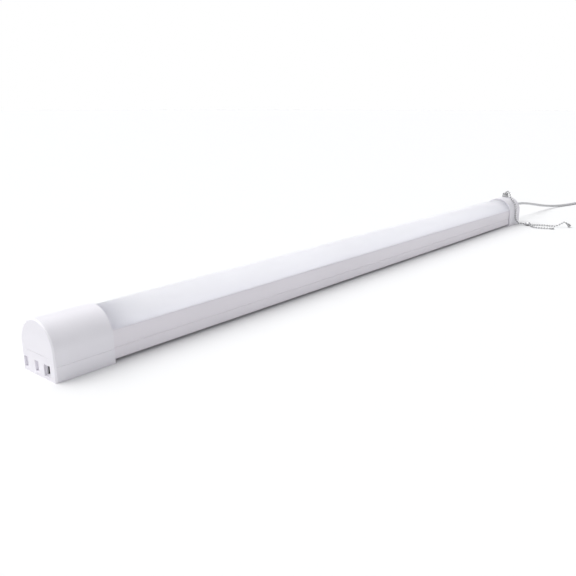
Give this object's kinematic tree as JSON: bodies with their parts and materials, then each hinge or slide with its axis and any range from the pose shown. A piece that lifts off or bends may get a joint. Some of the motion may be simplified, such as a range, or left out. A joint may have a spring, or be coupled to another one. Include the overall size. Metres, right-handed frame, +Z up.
{
  "type": "linkable shop light",
  "caption": "Long half-round LED shop light with moulded end caps, a pull-chain switch, a link outlet and a grey power cord.",
  "frame": {"origin": "under the middle of the light, on the surface its two end caps rest on", "axes": "+X along the light towards the end with the switch and cord, +Y across it, +Z up through the lens"},
  "size_m": [1.7475, 0.1785, 0.0771],
  "materials": {
    "white_channel": "white powder coat, satin",
    "white_cap": "white moulded plastic, satin",
    "lens": "frosted translucent white",
    "tray_white": "gloss white coat",
    "board_white": "white solder mask",
    "led_yellow": "phosphor in clear resin",
    "driver_metal": "bare sheet",
    "circuit_board": "green solder mask",
    "component_black": "moulded",
    "black_plastic": "moulded",
    "brass": "bare",
    "screw_steel": "zinc plated",
    "nickel": "nickel plated",
    "cord_grey": "light grey jacket, satin",
    "wire_black": "insulation",
    "wire_white": "insulation",
    "wire_green": "insulation",
    "switch_brown": "phenolic"
  },
  "bodies": {
    "fixture": {"housing_channel": "white_channel", "diffuser_lens": "lens", "reflector_tray": "tray_white", "led_board_1": "board_white", "led_board_2": "board_white", "led_chips": "led_yellow", "board_screws": "screw_steel", "driver_case": "driver_metal", "driver_lid": "driver_metal", "driver_board": "circuit_board", "driver_components": "component_black", "outlet_cap_cover": "white_cap", "outlet_cap_base": "white_cap", "outlet_cap_screws": "screw_steel", "link_socket": "black_plastic", "link_contacts": "brass", "cord_cap_cover": "white_cap", "cord_cap_base": "white_cap", "cord_cap_screws": "screw_steel", "switch_housing": "switch_brown", "switch_lid": "switch_brown", "switch_axle": "screw_steel", "switch_nipple": "nickel", "switch_nut": "nickel", "chain_connector": "nickel", "chain_extension": "nickel", "chain_bell": "nickel", "chain_tail": "nickel", "tail_connector": "nickel", "cord_grip": "cord_grey", "terminal_block": "black_plastic", "live_wire": "wire_black", "ground_wire": "wire_green", "neutral_wire": "wire_white", "cord_inner_end": "cord_grey", "power_cord": "cord_grey", "power_cord_coil": "cord_grey", "plug_body": "cord_grey", "plug_blades": "brass"},
    "chain": {"pull_chain": "nickel", "chain_stub": "nickel"},
    "wheel": {"switch_wheel": "brass"}
  },
  "joints": [
    {"name": "chain_pull", "type": "slide", "parent": "fixture", "child": "chain", "axis": [0, 0, 1], "range_m": [0, 0.00707], "stiffness_N_per_m": 400},
    {"name": "wheel_turn", "type": "hinge", "parent": "fixture", "child": "wheel", "pos_m": [0.5925, 0.0045, 0.0486], "axis": [1, 0, 0], "range_deg": [-90.5, 0]}
  ],
  "couplings": [
    {"joint": "wheel_turn", "follows": "chain_pull", "rad_per_m": -222.22}
  ]
}
